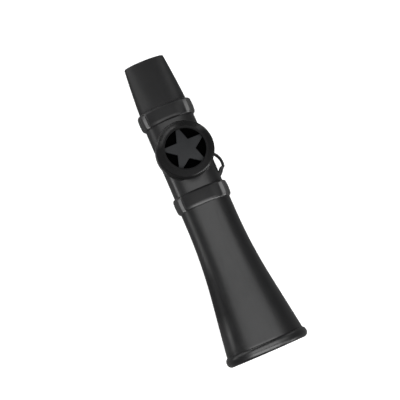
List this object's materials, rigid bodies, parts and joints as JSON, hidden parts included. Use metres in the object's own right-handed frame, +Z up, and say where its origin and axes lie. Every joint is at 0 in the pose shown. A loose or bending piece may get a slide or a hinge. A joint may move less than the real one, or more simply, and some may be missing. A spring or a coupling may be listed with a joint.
{
  "type": "kazoo",
  "caption": "Oval kazoo with a flattened mouthpiece, a flared bell, a lift-off turret cap with a star guard over the buzzing film, and a lanyard eye.",
  "frame": {"origin": "under the middle of the kazoo's length, at the level of the lowest point of the bell's rim", "axes": "+X along the body's axis from the mouthpiece to the bell, +Z up along the turret's axis, +Y to the side that has the lanyard eye"},
  "size_m": [0.125, 0.034, 0.0275],
  "materials": {
    "satin_black": "black moulded plastic, satin",
    "gloss_black": "black moulded plastic, polished",
    "cap_black": "black moulded plastic, low gloss",
    "film_black": "thin black film",
    "ring_grey": "dark grey plastic ring"
  },
  "bodies": {
    "body": {"mouthpiece": "satin_black", "mouth_collar": "satin_black", "barrel": "gloss_black", "lanyard_loop": "gloss_black", "bell_collar": "satin_black", "bell": "gloss_black"},
    "cap": {"turret_cap": "cap_black", "star_grille": "satin_black"},
    "membrane_set": {"membrane_ring_upper": "ring_grey", "membrane": "film_black", "membrane_ring_lower": "ring_grey"}
  },
  "joints": [
    {"name": "cap_lift", "type": "slide", "parent": "body", "child": "cap", "axis": [0, 0, 1], "range_m": [0, 0.016]},
    {"name": "membrane_lift", "type": "slide", "parent": "body", "child": "membrane_set", "axis": [0, 0, 1], "range_m": [0, 0.008]}
  ],
  "couplings": [
    {"joint": "membrane_lift", "follows": "cap_lift", "ratio": 0.5}
  ]
}
